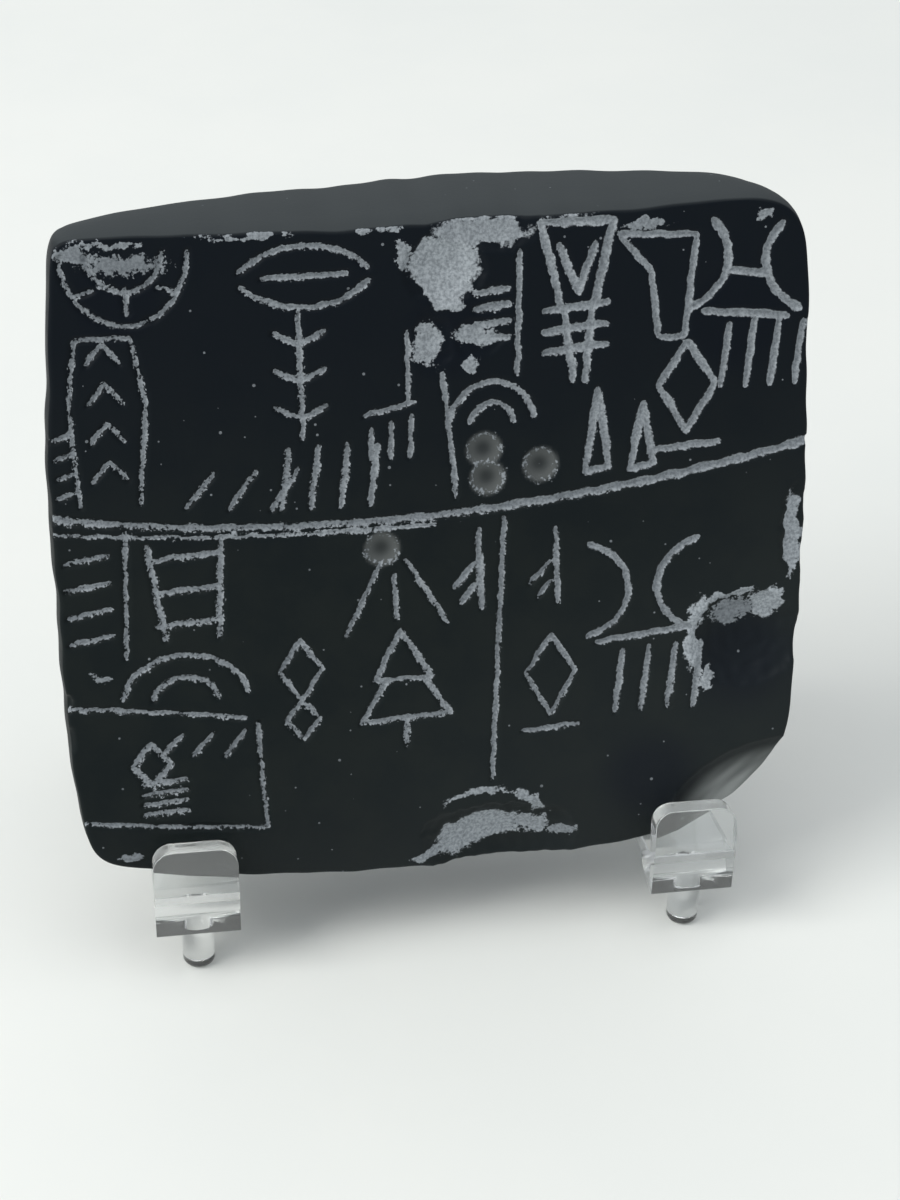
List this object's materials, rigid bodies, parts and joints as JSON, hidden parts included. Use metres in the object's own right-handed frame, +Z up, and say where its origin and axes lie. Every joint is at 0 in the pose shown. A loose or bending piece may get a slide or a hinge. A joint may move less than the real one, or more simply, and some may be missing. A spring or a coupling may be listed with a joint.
{
  "type": "cuneiform tablet on display stand",
  "caption": "Square slab tablet with ruled registers of pressed marks and worn breaks, leaning back in a clear two-armed display stand with peg feet.",
  "frame": {"origin": "on the table, under the middle of the whole object's bounding box", "axes": "+Z up; X across the tablet; the marked face looks towards -Y and leans back"},
  "size_m": [0.0958, 0.052, 0.0976],
  "materials": {
    "black_cast": "satin black with pale chalk rubbed into the marks",
    "clear_plastic": "clear polished moulded plastic"
  },
  "bodies": {
    "root": {"tablet": "black_cast", "display_stand": "clear_plastic"}
  },
  "joints": []
}
